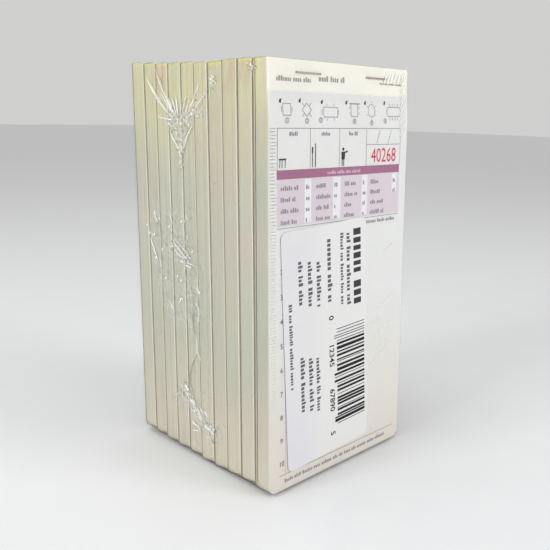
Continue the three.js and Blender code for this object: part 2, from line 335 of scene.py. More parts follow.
def face_of(node):
    """The front of a flat node, measured from the middle of its lower edge."""
    mesh = nodes[node].data
    right = max(mesh.polygons, key=lambda polygon: polygon.normal.x * polygon.area).normal.copy()
    normal = min(mesh.polygons, key=lambda polygon: polygon.normal.y * polygon.area).normal.copy()
    up = normal.cross(right)
    points = np.array([vertex.co for vertex in mesh.vertices])
    across, height, out = (points @ np.array(axis) for axis in (right, up, normal))
    centre = (across.min() + across.max()) / 2
    return Plane(right * centre + up * height.min() + normal * out.max(), right, up, normal)


def pad_plane(number):
    """A pad's own face under its staples: what lies at a depth in the pad is that far behind it."""
    return face_of(f"pad_{number:02d}_top_leaf").moved_out(-SWELL)


# Leaves: every leaf under a pad's top leaf, each a little out of line with the next

FOOT_STEPS = 4
PRESSED_HALF = 35  # the staples press a leaf this far to each side of its middle
SIDEWAYS_LIMIT = 0.12  # how far a leaf may be out of line
DRIFT_KEPT, DRIFT_STEP = 0.92, 0.008  # how the leaves' sides wander from one leaf to the next
DROP_KEPT, DROP_STEP = 0.9, 0.02  # and how their feet and tops do
GROUP_CHANCE = 0.12  # that a leaf starts a group with another tint
PAPER_SHARE = 0.9  # how much of a leaf's place its paper fills; the rest is air
LOOSE_LEAVES = 7
PALE_LEAVES = 8
FACE_WHITE = (236, 236, 230)  # seen through the tear line of the leaf above
WHITE_EDGE = (203, 203, 190)
YELLOW_EDGE = (194, 194, 176)
PALE_EDGE = (231, 228, 208)
LOOSE_EDGE = (206, 197, 182)


def leaf_rows(foot, trim):
    """Heights up a leaf, and how far in from the sides it is there."""
    angles = np.linspace(0, math.pi / 2, FOOT_STEPS + 1)
    heights = [*(foot + FOOT_CORNER * (1 - np.cos(angles))), *BEND_HEIGHTS, PAD_HEIGHT - trim]
    insets = [*(FOOT_CORNER * (1 - np.sin(angles))), *([0] * (len(BEND_HEIGHTS) + 1))]
    return heights, insets


def leaf_mesh(plane, depth, thickness, swell, fluff, shift=0, foot=0, trim=0):
    """One leaf, in rows up the pad.

    Its swell ends near the staples, apart from the share of it that stays at the side edges.
    """
    vertices = []
    for height, inset in zip(*leaf_rows(foot, trim)):
        fall = float(np.interp(height, BEND_HEIGHTS, BEND_FALLS)) / SWELL
        half = PAD_WIDTH / 2 - inset
        columns = [(-half, 1 - fluff), (-PRESSED_HALF, 1), (PRESSED_HALF, 1), (half, 1 - fluff)]
        for behind, row in ((0, columns), (thickness, columns[::-1])):
            for across, pressed in row:
                forward = swell * (1 - fall * pressed)
                vertices.append(plane.point(across + shift, height, forward - depth - behind))
    ring = 2 * len(columns)
    caps = [(0, 1, 6, 7), (1, 2, 5, 6), (2, 3, 4, 5)]
    top = len(vertices) - ring
    faces = [tuple(reversed(cap)) for cap in caps]
    for low in range(0, top, ring):
        for corner in range(ring):
            following = (corner + 1) % ring
            faces.append((low + corner, low + following, low + following + ring, low + corner + ring))
    faces += [tuple(top + corner for corner in cap) for cap in caps]
    return vertices, faces


def leaf_block(number, look):
    """The leaves of one pad, white originals and yellow copies in turn.

    Slack is a gap near the back of the pad: the last few leaves stay by the board, the others
    are pressed forward.
    """
    rng = random.Random(100 + number)
    plane = pad_plane(number)
    vertices, faces, tints, marks = [], [], [], []
    drift = drop = group_tint = 0
    last = INNER_LEAVES - 1
    slack = look["slack"]
    for leaf in range(INNER_LEAVES):
        drift = DRIFT_KEPT * drift + rng.gauss(0, DRIFT_STEP)
        drop = DROP_KEPT * drop + rng.gauss(0, DROP_STEP)
        if rng.random() < GROUP_CHANCE:
            group_tint = rng.uniform(-0.007, 0.005)
        shift = max(-SIDEWAYS_LIMIT, min(SIDEWAYS_LIMIT, drift + rng.gauss(0, 0.004)))
        foot = 0.04 + abs(drop) + look["foot_rise"] * (1 - leaf / last)
        trim = 0.05 + abs(drop) + abs(rng.gauss(0, 0.03))
        depth = BLOCK_FRONT + leaf * LEAF_THICKNESS
        loose = slack > 0 and leaf > last - LOOSE_LEAVES
        if not loose:
            depth -= slack * leaf / (last - LOOSE_LEAVES)
        forward = look["swell"] * (1 - leaf / last)
        paper = PAPER_SHARE * LEAF_THICKNESS
        made, rings = leaf_mesh(plane, depth, paper, forward, look["fluff"], shift, foot, trim)
        base = len(vertices)
        vertices += made
        faces += [tuple(base + corner for corner in ring) for ring in rings]
        tone, kept = (WHITE_EDGE if leaf % 2 else YELLOW_EDGE), 0
        if leaf == 0:
            tone, kept = FACE_WHITE, 1
        elif leaf < PALE_LEAVES:
            tone, kept = PALE_EDGE, 0.8
        elif loose:
            tone = LOOSE_EDGE
        share = look["tone"] * (1 + group_tint)
        tints += [colour(*(channel * share for channel in tone))] * len(made)
        marks += [(look["yellow"], look["stain"], kept, 1)] * len(made)
    pad = f"pad_{number:02d}_"
    piece = add_piece(
        pad + "leaves", vertices, faces, leaf_edges, "leaf_stack", [pad + "leaf_block"],
    )
    set_colours(piece, "tint", tints)
    set_colours(piece, "marks", marks)
    set_values(piece, "up", [(vertex - plane.foot).dot(plane.up) / MM for vertex in vertices])


def front_leaf(number, look):
    """The top leaf of a pad inside the pack, which follows the leaves under it."""
    vertices, faces = leaf_mesh(
        pad_plane(number), 0, LEAF_THICKNESS, look["swell"], look["fluff"], foot=look["foot_rise"],
    )
    pad = f"pad_{number:02d}_"
    add_piece(pad + "front_leaf", vertices, faces, leaf_face, "leaf_white", [pad + "top_leaf"])


# Print: flat marks that lie on a face, in that face's millimetres

HAIR = 0.24
INK_PROUD = 0.02
RING_STEPS, DISC_STEPS = 24, 16
LETTER_GAP, WORD_GAP = 0.16, 0.4  # as shares of the letters' height


def corners_of(left, right, low, high):
    return [(left, low), (right, low), (right, high), (left, high)]


def oval(x, z, across, up, steps=RING_STEPS):
    angles = [2 * math.pi * i / steps for i in range(steps)]
    return [(x + across * math.cos(a), z + up * math.sin(a)) for a in angles]


class Print:
    """Marks of one ink on one sheet, each a polygon a hair in front of the paper."""

    def __init__(self, sheet, name, ink, proud):
        self.sheet, self.name, self.ink, self.proud = sheet, name, ink, proud
        self.vertices, self.faces = [], []

    def polygon(self, points):
        base = len(self.vertices)
        self.vertices += [self.sheet.face.point(x, z, self.proud) for x, z in points]
        self.faces.append([base + i for i in range(len(points))])

    def box(self, *sides):
        self.polygon(corners_of(*sides))

    def line(self, start, end, width=HAIR):
        (x0, z0), (x1, z1) = start, end
        length = math.hypot(x1 - x0, z1 - z0)
        side_x, side_z = (z1 - z0) / length * width / 2, -(x1 - x0) / length * width / 2
        self.polygon([
            (x0 + side_x, z0 + side_z), (x1 + side_x, z1 + side_z),
            (x1 - side_x, z1 - side_z), (x0 - side_x, z0 - side_z),
        ])

    def path(self, points):
        for start, end in zip(points, points[1:]):
            self.line(start, end)

    def loop(self, points):
        self.path([*points, points[0]])

    def ticks(self, ticks):
        for x, z, dx, dz in ticks:
            self.line((x, z), (x + dx, z + dz))

    def words(self, start, length, height, down=False, longest=7, heights=(0.6, 0.6, 0.85)):
        """A line of plain blocks as big as small letters, broken into words, that spells nothing."""
        rng = self.sheet.rng
        along, left_in_word = 0, rng.randint(3, longest)
        while along + 0.5 * height < length:
            wide = height * rng.uniform(0.28, 0.46)
            high = height * rng.choice(heights)
            corners = corners_of(along, along + wide, 0, high)
            if down:
                corners = [(b, -a) for a, b in corners]
            self.polygon([(start[0] + a, start[1] + b) for a, b in corners])
            along += wide + LETTER_GAP * height
            left_in_word -= 1
            if left_in_word == 0:
                along += WORD_GAP * height
                left_in_word = rng.randint(3, longest)


class Sheet:
    """A printed face: its layers of ink, and its plain numbers."""

    def __init__(self, prefix, face, slot, seed):
        self.prefix, self.face, self.slot, self.layers = prefix, face, slot, []
        self.rng = random.Random(seed)

    def layer(self, name, ink, proud=INK_PROUD):
        self.layers.append(Print(self, self.prefix + name, ink, proud))
        return self.layers[-1]

    def make(self):
        for made in self.layers:
            add_piece(made.name, made.vertices, made.faces, inks[made.ink], self.slot)

    def number(self, name, text, place, size, proud, ink, turn=0, stretch=1, bolder=0.015):
        """A plain number, centred on a place of the face, as a thin flat mesh."""
        curve = bpy.data.curves.new(name, "FONT")
        curve.body = text
        curve.size = size * MM
        curve.offset = bolder * size * MM
        curve.align_x = curve.align_y = "CENTER"
        curve.resolution_u = 3
        written = linked(name, curve)
        bpy.context.view_layer.update()
        mesh = bpy.data.meshes.new_from_object(written)
        bpy.data.objects.remove(written)
        face = self.face
        axes = Matrix((face.right, face.up, face.normal)).transposed().to_4x4()
        moved = Matrix.Translation(face.point(*place, proud))
        mesh.transform(Matrix.Diagonal((1, stretch, 1, 1)))
        mesh.transform(moved @ axes @ Matrix.Rotation(turn, 4, "Z"))
        add_mesh(name, mesh, inks[ink], self.slot)


# Front of the first pad

OVER_PROUD = 0.035
TEXT_PROUD = 0.05
BEND_PROUD = 0.06  # where the leaf bends, marks that cross the bend need this much

CELLS_TOP = 146.7
BAND_TOP = 131.2
BAND_FOOT = 127.7
PANEL_FOOT = 109.6
FORM_LEFT, FORM_RIGHT = -38.75, 38.1
CELL_LINES = (-20.7, -3.24, 14.2)
CODE_COLUMNS = ((-23.8, -19.9), (-6.9, -2.1), (11.5, 15.4), (32.6, 36.2))
WORD_COLUMNS = (-37, -17, 0.4, 17.6)
CIRCLED_PLACES = ((-33.6, 149.6), (-22.7, 149.5), (-14.7, 149.9), (5.9, 149.6), (17.4, 149), (26.6, 149.9))
ROWS = 10
ROW_TOP = 102
ROW_PITCH = 10.03


def table_icons(mark, solid):
    """Small plans of tables with their seats, and the pointer that goes with each."""
    pointers = ((-36.8, 157), (-26.3, 157.3), (-13.8, 157.1), (1.05, 157.3), (13.1, 157.4), (26.35, 157.7))
    for x, z in pointers:
        solid.polygon([(x - 0.8, z - 0.9), (x + 0.2, z - 1.1), (x + 0.6, z + 0.7), (x - 0.6, z + 0.1)])
    mark.loop(corners_of(-35.7, -31.5, 151.5, 155.8))
    mark.ticks([(-36.3, 152.6, 0, 2.1), (-30.9, 152.6, 0, 2.1)])
    mark.loop([(-22.7, 151.1), (-20.1, 153.6), (-22.7, 156.2), (-25.3, 153.6)])
    mark.ticks([
        (-25.2, 156.2, 1.2, -1.2), (-20.2, 156.2, -1.2, -1.2),
        (-25.2, 151.1, 1.2, 1.2), (-20.2, 151.1, -1.2, 1.2),
    ])
    mark.loop(corners_of(-13, -4.7, 151.1, 154.9))
    mark.ticks([(x, z, 0, 0.9) for x in (-11, -6.8) for z in (149.7, 155.4)])
    mark.ticks([(-14, 152.1, 0, 1.8), (-4.1, 152.1, 0, 1.8)])
    mark.path([(3.8, 156.4), (3.8, 151.5), (8, 151.5), (8, 156.4)])
    mark.line((2.9, 156.6), (9.6, 156.6), 1.6 * HAIR)
    mark.ticks([(x, z, 0, 1.2) for x in (3.1, 8.8) for z in (152.2, 154.4)])
    mark.loop(oval(17.2, 154, 2.3, 2.6))
    for step in range(6):
        angle = math.pi / 6 + step * math.pi / 3
        x, z = 17.2 + 3 * math.cos(angle), 154 + 3.3 * math.sin(angle)
        mark.ticks([(x, z, 0.7 * math.cos(angle), 0.7 * math.sin(angle))])
    mark.loop([
        (27.5, 153.8), (28.6, 151.9), (37, 151.9), (38.1, 153.8), (37, 155.7), (28.6, 155.7),
    ])
    mark.ticks([(x, z, 0, 1.3) for x in (30, 31.9, 33.8, 35.7) for z in (150.2, 156)])


def cell_symbols(mark):
    """A small table, a knife and fork, and a plain figure of a server, one in each cell."""
    mark.box(-37.9, -34, 134.9, 135.5)
    for x in (-37.5, -36.3, -34.6):
        mark.line((x, 132), (x + 0.15, 134.9), 0.35)
    mark.line((-19.4, 131.7), (-19.4, 137.3), 0.45)
    mark.line((-19.4, 137.3), (-19.4, 139.6), 0.8)
    mark.line((-17.7, 131.7), (-17.7, 140.9), 0.5)
    mark.polygon(oval(-0.9, 138.4, 0.65, 0.65, DISC_STEPS))
    mark.polygon([(-1.9, 134.2), (0.1, 134.2), (0.4, 137.4), (-2.1, 137.4)])
    mark.line((-0.9, 137), (1.8, 137.3), 0.45)
    mark.line((0.7, 137.6), (2.1, 137.6), 0.3)
    for x in (-1.5, -0.5):
        mark.line((x, 131.6), (x, 134.2), 0.5)


def front_print():
    face = BentPlane(face_of("pad_01_top_leaf"), BEND_HEIGHTS, BEND_FALLS)
    sheet = Sheet("form_", face, "leaf_white", 5)
    layer, rng = sheet.layer, sheet.rng
    cool = layer("cool_band", "cool", 0.5 * BEND_PROUD)
    bend_lines = layer("table_plans", "grey", BEND_PROUD)
    pointers = layer("pointers", "dark", BEND_PROUD)
    stub = layer("stub_words", "stub", BEND_PROUD)
    lines = layer("lines", "grey")
    symbols = layer("symbols", "dark")
    band = layer("band", "purple")
    panel = layer("panel", "lilac")
    blank = layer("code_columns", "white", OVER_PROUD)
    text = layer("words", "text", TEXT_PROUD)
    pale = layer("band_words", "pale", OVER_PROUD)
    margin = layer("margin_rule", "rose")

    for low, high in ((157.75, 159.7), (156.9, 157.75)):
        cool.box(-42.6, 42.6, low, high)
    table_icons(bend_lines, pointers)
    for index, place in enumerate(CIRCLED_PLACES, 1):
        bend_lines.loop(oval(*place, 0.95, 0.95))
        sheet.number(f"seat_number_{index}", str(index), place, 1.7, BEND_PROUD, "grey")
    stub.words((-38.4, 163.9), 19.5, 2.2)
    stub.words((-15.2, 164.6), 17, 2.6)
    stub.words((23.3, 165), 15, 1.1)

    cell_symbols(symbols)
    lines.path([
        (FORM_LEFT, BAND_TOP), (FORM_LEFT, CELLS_TOP), (FORM_RIGHT, CELLS_TOP), (FORM_RIGHT, BAND_TOP),
    ])
    for x in CELL_LINES:
        lines.line((x, BAND_TOP), (x, CELLS_TOP))
    lines.line((CELL_LINES[-1], 140), (FORM_RIGHT, 140))
    for x in (21.2, 29.2):
        lines.line((x, 140.6), (x + 2.2, 146.2))
    for x, length in ((-32.3, 6), (-14.3, 6.6), (2.6, 6.4)):
        text.words((x, 143.9), length, 1.8)

    band.box(-39.1, 37.8, BAND_FOOT, BAND_TOP)
    pale.words((-10.4, 128.6), 21, 1.7)
    panel.box(-38.9, FORM_RIGHT, PANEL_FOOT, BAND_FOOT)
    for left, right in CODE_COLUMNS[:3]:
        blank.box(left, right, PANEL_FOOT + 0.6, BAND_FOOT - 0.4)
    blank.box(*CODE_COLUMNS[3], 119.2, BAND_FOOT - 0.4)
    for row in range(4):
        z = 123.4 - row * 4.35
        for column, (left, right) in enumerate(CODE_COLUMNS):
            text.words((WORD_COLUMNS[column], z), rng.uniform(6, 11.5), 2.1, longest=9)
            if column < 3 or row < 2:
                text.words((left + 0.8, z), rng.uniform(1.8, 3), 2)
    lines.line((-38.9, PANEL_FOOT - 0.6), (FORM_RIGHT, PANEL_FOOT - 0.6))
    text.words((15.3, 106.4), 20, 2)

    for row in range(ROWS):
        place = (-36.4, ROW_TOP - row * ROW_PITCH)
        sheet.number(f"row_number_{row + 1}", str(row + 1), place, 3, OVER_PROUD, "row")
    lines.line((-37.6, 6.6), (39, 6.6), 0.25)
    text.words((-34.6, 2.9), 68, 2)
    margin.line((-34.2, 6.8), (-34.2, 106), 0.3)
    sheet.make()
    sheet.number("serial_number", "40268", (26.3, 135.1), 7.1, OVER_PROUD, "red", 0, 1.2, 0)


# Label: columns of words that read downwards, bars and a row of plain digits

LABEL_HALF_HEIGHT = 50.5
READ_DOWN = -math.pi / 2
BAR_UNIT = 0.35


def label_print():
    middle = LABEL_HALF_HEIGHT
    sheet = Sheet("label_", face_of("pack_label"), "label_paper", 11)
    title = sheet.layer("title", "dark")
    title.words((17.3, middle + 46.3), 34.5, 6.6, True, 9, (0.74,))
    words = sheet.layer("words", "label")
    # each column's place across, its upper end, its length and the height of its marks
    columns = (
        (12.8, 45, 32.6, 3.1), (8.8, 45.6, 32, 2.4), (0.5, 44.2, 28.4, 3.4),
        (-6.2, 35.8, 20.4, 3), (-11.4, 36.7, 20.1, 3), (-16.9, 37.7, 19.8, 3),
        (-22.9, 21.3, 37.3, 2.2), (-7.5, -5.1, 25.2, 2.7), (-12, -4.1, 24.9, 3),
        (-17, -2.5, 24.6, 3),
    )
    for across, up, length, height in columns:
        words.words((across, middle + up), length, height, True, 8)
    bars, rng = sheet.layer("bars", "black"), sheet.rng
    z = middle + 4.6
    guards = (middle + 1.4, middle - 16, middle - 18.4, middle - 36)
    while z > middle - 39.6:
        thick = rng.choice((1, 1, 1, 2, 3, 4)) * BAR_UNIT
        guard = any(abs(z - place) < 1.6 for place in guards)
        bars.box(3.9 if guard else 5.6, 24.3, z - thick, z)
        z -= thick + rng.choice((1, 2, 2, 3)) * BAR_UNIT
    sheet.make()
    digits = ((10.2, "0"), (-6.5, "12345"), (-27, "67890"), (-42.6, "5"))
    for index, (up, text) in enumerate(digits, 1):
        place = (2.2, middle + up)
        sheet.number(f"label_digits_{index}", text, place, 4.2, INK_PROUD, "black", READ_DOWN)


# Film: a thin skin drawn tight over the pads

SKIN_REACH = FILM_REACH - 0.01
SKIN_STEP = 1.5
SKIN_STEP_BACK = 0.55  # finer from front to back, where the skin dips from pad to pad
EDGE_STEPS = 3
STAPLE_HEIGHT = 167.4
WIRE_WIDTH = 0.6
CROWN_PROUD = 0.52


def side_line(pad, places):
    """(heights, places) of a line in side view, from places up a pad and proud of it."""
    points = [pad.point(0, *place) for place in places]
    return np.array(sorted((point.z / MM, point.y / MM) for point in points)).T


def pack_outline():
    """The lines in side view that the film spans: its front, back, top and foot."""
    staple = [STAPLE_HEIGHT - WIRE_WIDTH / 2, STAPLE_HEIGHT + WIRE_WIDTH / 2]
    front = [(0, SWELL), (SWELL_START, SWELL), (PAD_HEIGHT, 0)]
    front += [(height, CROWN_PROUD) for height in staple]
    back = [(0, -PAD_DEPTH), (PAD_HEIGHT, -PAD_DEPTH)]
    back += [(height, -PAD_DEPTH - CROWN_PROUD) for height in staple]
    tops, feet = [], []
    for number in range(1, PADS + 1):
        pad = pad_plane(number)
        tops += [pad.point(0, PAD_HEIGHT), pad.point(0, PAD_HEIGHT, -PAD_DEPTH)]
        feet += [pad.point(0, 0, SWELL), pad.point(0, 0, -PAD_DEPTH)]
    top, foot = (np.array([(p.y / MM, p.z / MM) for p in line]).T for line in (tops, feet))
    return side_line(pad_plane(1), front), side_line(pad_plane(PADS), back), top, foot


def axis_steps(low, high, step):
    """(place, overshoot) pairs along an axis: overshoot runs from 0 to 1 round each edge."""
    inner = [(place, 0) for place in np.linspace(low, high, round((high - low) / step) + 1)]
    before = [(low, -(1 - i / EDGE_STEPS)) for i in range(EDGE_STEPS)]
    after = [(high, (i + 1) / EDGE_STEPS) for i in range(EDGE_STEPS)]
    return np.array(before + inner + after)


def box_grid(sizes):
    """The points and faces of a closed box, divided into this many points along each axis."""
    index_of, faces = {}, []
    for axis in range(3):
        u, v = [other for other in range(3) if other != axis]
        for end in (0, sizes[axis] - 1):
            inwards = (end == 0) != (axis == 1)
            for i in range(sizes[u] - 1):
                for j in range(sizes[v] - 1):
                    ring = []
                    for du, dv in ((0, 0), (1, 0), (1, 1), (0, 1)):
                        key = [0, 0, 0]
                        key[axis], key[u], key[v] = end, i + du, j + dv
                        ring.append(index_of.setdefault(tuple(key), len(index_of)))
                    faces.append(ring[::-1] if inwards else ring)
    return np.array(list(index_of)), faces


def film_skin(left, right):
    front, back, top, foot = pack_outline()
    low, high = foot[1].min(), top[1].max()
    across = axis_steps(left, right, SKIN_STEP)
    depth = axis_steps(0, 1, SKIN_STEP_BACK / (back[1].max() - front[1].min()))
    height = axis_steps(0, 1, SKIN_STEP / (high - low))
    grid, faces = box_grid((len(across), len(depth), len(height)))
    x, x_over = across[grid[:, 0]].T
    share_back, y_over = depth[grid[:, 1]].T
    share_up, z_over = height[grid[:, 2]].T
    z = low + (high - low) * share_up
    front_y, back_y = np.interp(z, *front), np.interp(z, *back)
    y = front_y + (back_y - front_y) * share_back
    foot_z, top_z = np.interp(y, *foot), np.interp(y, *top)
    z = foot_z + (top_z - foot_z) * share_up

    # the two lower corners are round in front view, and the normals turn with them
    normals = np.stack([x_over, y_over, z_over], axis=1)
    for side, edge in ((-1, left), (1, right)):
        out = side * (x - edge) + FOOT_CORNER
        down = foot_z + FOOT_CORNER - z
        inside = (out > 0) & (down > 0)
        radial = np.maximum(np.hypot(out, down), 1e-9)
        scale = np.where(inside, np.maximum(out, down) / radial, 1)
        x = np.where(inside, edge + side * (out * scale - FOOT_CORNER), x)
        z = np.where(inside, foot_z + FOOT_CORNER - down * scale, z)
        rim = inside & ((np.abs(x_over) == 1) | (z_over == -1))
        normals[:, 0] = np.where(rim, side * out / radial, normals[:, 0])
        normals[:, 2] = np.where(rim, -down / radial, normals[:, 2])
    normals /= np.linalg.norm(normals, axis=1)[:, None]
    places = np.stack([x, y, z], axis=1) + SKIN_REACH * normals
    places[:, 2] = np.maximum(places[:, 2], 0)
    skin = add_piece("film_skin", places * MM, faces, film_finish, "clear_film", ["shrink_film"])
    skin.data.shade_smooth()


# Folds and puckers of the film, each listed as (y, z) places on the left side, or as (across, up)
# places on another side

SEAL_LINE = [(10.5, 171), (8, 117), (2.5, 60), (-5.5, 2)]
PUCKER_FAN = [
    [(35, 167.7), (31.7, 162.6), (26.3, 157.1), (19.7, 152.4), (15.3, 150.1)],
    [(28.4, 170.6), (26.1, 165.9), (22.1, 160.1), (17.6, 154.5), (14.2, 150.8)],
    [(32.8, 164.6), (26.9, 158.8), (21.1, 153.7)], [(25.1, 161.2), (21.6, 157.4), (16.4, 152.1)],
    [(22.7, 161.2), (19.6, 156.8), (15.3, 151.5)], [(20.9, 160.1), (18.1, 156.1), (14.7, 151.8)],
    [(16.9, 158.8), (15.2, 155.5), (13.9, 151.5)], [(14, 159.5), (13.2, 155.5), (12.8, 150.8)],
    [(10.1, 158.2), (10.7, 154.2), (11.9, 150.2)], [(6.8, 160.1), (8.5, 155.5), (10.2, 150.9)],
    [(4.6, 159.5), (6.3, 154.9), (8.5, 150.9)],
    [(-3.4, 168.3), (-1.8, 164.5), (0.9, 160.1), (4.1, 154.9), (7.4, 151)],
    [(-6.5, 160.7), (-2.3, 157.6), (1.9, 153.7), (6.3, 150)],
]
PUCKER_EDGES = [
    [(26.5, 150.6), (19.7, 149.7), (15.3, 149.8)],
    [(19.4, 146), (15.4, 141.3), (11.5, 136.8), (10.4, 134.1)],
    [(2.5, 148.4), (5.8, 144.1), (8.1, 139.6), (9.8, 135.5)], [(11, 133.4), (10.4, 130.7)],
]
PUCKER_BODY = [
    (26.5, 150.6), (19.7, 149.7), (15.3, 152.5), (9, 153), (2.5, 152), (0.9, 150.1), (3.1, 147.8),
    (5.8, 144.4), (8.1, 140.3), (8.7, 136.2), (11, 133.4), (12.1, 136.7), (15.4, 141.3), (18.9, 146),
    (22.4, 148.6),
]
PUCKER_CLOUD = [(5.2, 151), (5.6, 156), (1, 158.2), (-4, 157.4), (-6.6, 154), (-4.2, 150.8), (0.5, 150)]
SCRIBBLES = [
    [(-11.2, 167.6), (-8.7, 167.1), (-11.7, 166.3), (-8, 165.9), (-11.4, 164.9), (-7.6, 164.4),
     (-10.8, 163.6), (-8.1, 162.9), (-9.9, 161.8)],
    [(-31.6, 171.7), (-33.1, 171), (-31.2, 170.5), (-34, 169.9), (-32.1, 169.2), (-33.7, 168.6),
     (-32.6, 168.1)],
]
MIDDLE_FOLDS = [
    [(30.6, 109.1), (30.2, 107.2), (28.1, 104.6)], [(19.8, 109.5), (18.3, 107.9), (17, 105.1)],
    [(17.2, 98.3), (14.9, 95.9), (11.5, 93.6), (7.9, 91.7), (5.4, 89.9)],
    [(14.8, 97.9), (11.2, 96.2), (7.5, 94.5), (4.7, 91.4)], [(16, 94.1), (13.4, 92), (8.6, 91.2)],
    [(8.7, 88.2), (4, 87.9)], [(6.8, 89.6), (2.5, 89)], [(12, 89.7), (9, 89.3)],
    [(34.2, 96.5), (31.1, 91.7), (28.2, 86.5)], [(26.6, 87.3), (25.4, 84.6)],
    [(0.5, 79.5), (-2.4, 77.3)], [(19.8, 70.2), (18.2, 68.2), (16.1, 65.5)],
    [(12.6, 70.1), (11, 73.2), (9.6, 71.6)], [(1.2, 73.2), (-0.2, 71.6), (-1.6, 69.7), (-0.1, 62.6)],
    [(0.4, 57.2), (-0.1, 54), (0, 50.7), (-2.1, 48.6), (-2.9, 46.7)],
]
# folds painted dark grey, as painted shade on the clear film
DARK_FOLDS = [
    [(0.8, 71.6), (3, 65.3), (2.3, 60.6), (1.2, 58)],
    [(0, 50), (3.8, 43.2), (5.1, 39.1), (5, 34.5), (2.1, 30.5)],
]
LOOSE_AREA = [
    (37, 104), (28, 113), (15, 112), (0, 99), (-4.5, 86), (-4.5, 70), (-2, 58), (6, 60), (22, 63),
    (31, 80),
]
LOW_PUCKER = [
    (9.4, 33.2), (7.5, 29.2), (3.6, 25.3), (-0.6, 23.1), (-4.4, 19.8), (-8.9, 16.8), (-11.8, 15.3),
]
LOW_LEG = [(17.6, 23.4), (13.5, 26.8), (9.5, 29.1)]
LOW_FOLDS = [
    [(8.6, 33.4), (6.3, 30.6)], [(7.5, 29.7), (5.2, 26.3)], [(4.8, 27.5), (0.9, 25.1)],
    [(-0.6, 24.6), (-2.9, 20.8)], [(-2.9, 24.8), (-4.4, 22.8)], [(-5.1, 24.6), (-7.4, 22.8)],
    [(-2.1, 20.5), (-4.4, 18.7)], [(-5.2, 18.5), (-8.9, 16.3)], [(-8.5, 18.1), (-11.8, 15.8)],
    [(-0.6, 16.4), (-2.9, 13.6)], [(3.3, 16.6), (-0.6, 15.9)], [(1.4, 7.9), (0.6, 6.6)],
    [(3.3, 12.4), (-1.4, 14.1)],
]
GLINTS = [
    (26.9, 106.4), (19.4, 103.7), (36.2, 102.4), (34.4, 98.9), (31.1, 98.6), (3.1, 95), (24.9, 92.7),
    (13.5, 82.5), (11, 80.8), (22.4, 80), (-1.7, 77.9), (10.7, 107), (29.9, 88.1),
]
FRONT_CREASES = [
    [(21.5, 52), (28, 56.5), (34.5, 60)], [(20.5, 41), (28.5, 45.5), (36, 50)], [(25, 47.5), (32, 52)],
    [(20.5, 60.5), (27, 64)], [(24, 66.5), (36, 73)], [(27, 92), (37, 97)],
]
FAR_PLACES = [(-29, 14), (33, 14), (-29, 158), (33, 158)]
FAR_SUNK = 0.1  # so far behind the film's face, to stay inside the pack's box
CORNER_PUCKERS = 7
LEFT_HALF = 8  # so many folds of the fan, the first ones, lie left of the seal and are whiter
STRAY_FOLDS = 40
RIPPLE_PITCH = 1.28
RIPPLES_LOW, RIPPLES_RUN = 36, 112
CREST_SHARE = 0.4
LINE_STEP = 0.8  # between the places of a fold
BRISTLE_HEIGHT = 0.14
# dark bristles are painted shade between the white ones
DARK_BRISTLES = 0.3  # the share of bristles that are dark
FACET_JITTER = 0.35  # as a share of a facet
FADE_IN = 1.4  # a crumpled patch gets milky this far from its outline
FOLD_SEED, FACET_SEED = 23, 7


def stroke(start, turn, length):
    """The ends of a straight fold."""
    return [start, (start[0] + length * math.cos(turn), start[1] + length * math.sin(turn))]


def along_line(points, step):
    """The line's points at even steps, with its corners eased, and its tangents there."""
    points = np.array(points, float)
    lengths = np.concatenate([[0], np.cumsum(np.linalg.norm(np.diff(points, axis=0), axis=1))])
    count = max(4, round(lengths[-1] / step) + 1)
    stops = np.linspace(0, lengths[-1], count)
    line = np.stack([np.interp(stops, lengths, points[:, k]) for k in (0, 1)], axis=1)
    line[1:-1] = (line[:-2] + 2 * line[1:-1] + line[2:]) / 4
    return line, np.gradient(line, axis=0)


def band_outline(points, half_width):
    """The outline of a band of this half width along a line."""
    line, tangents = along_line(points, 3)
    off = np.stack([-tangents[:, 1], tangents[:, 0]], axis=1)
    off *= half_width / np.linalg.norm(off, axis=1)[:, None]
    return [tuple(place) for place in (*(line + off), *(line - off)[::-1])]


def inside_outline(x, y, outline):
    """Whether each place is inside a closed outline, and how far it is from the outline."""
    inside = np.zeros(x.shape, bool)
    apart = np.full(x.shape, np.inf)
    for (ax, ay), (bx, by) in zip(outline, outline[1:] + outline[:1]):
        crosses = (ay > y) != (by > y)
        rise = by - ay if by != ay else 1e-9
        inside ^= crosses & (x < ax + (bx - ax) * (y - ay) / rise)
        share = ((x - ax) * (bx - ax) + (y - ay) * (by - ay)) / ((bx - ax) ** 2 + (by - ay) ** 2)
        share = np.clip(share, 0, 1)
        apart = np.minimum(apart, np.hypot(x - ax - share * (bx - ax), y - ay - share * (by - ay)))
    return inside, apart


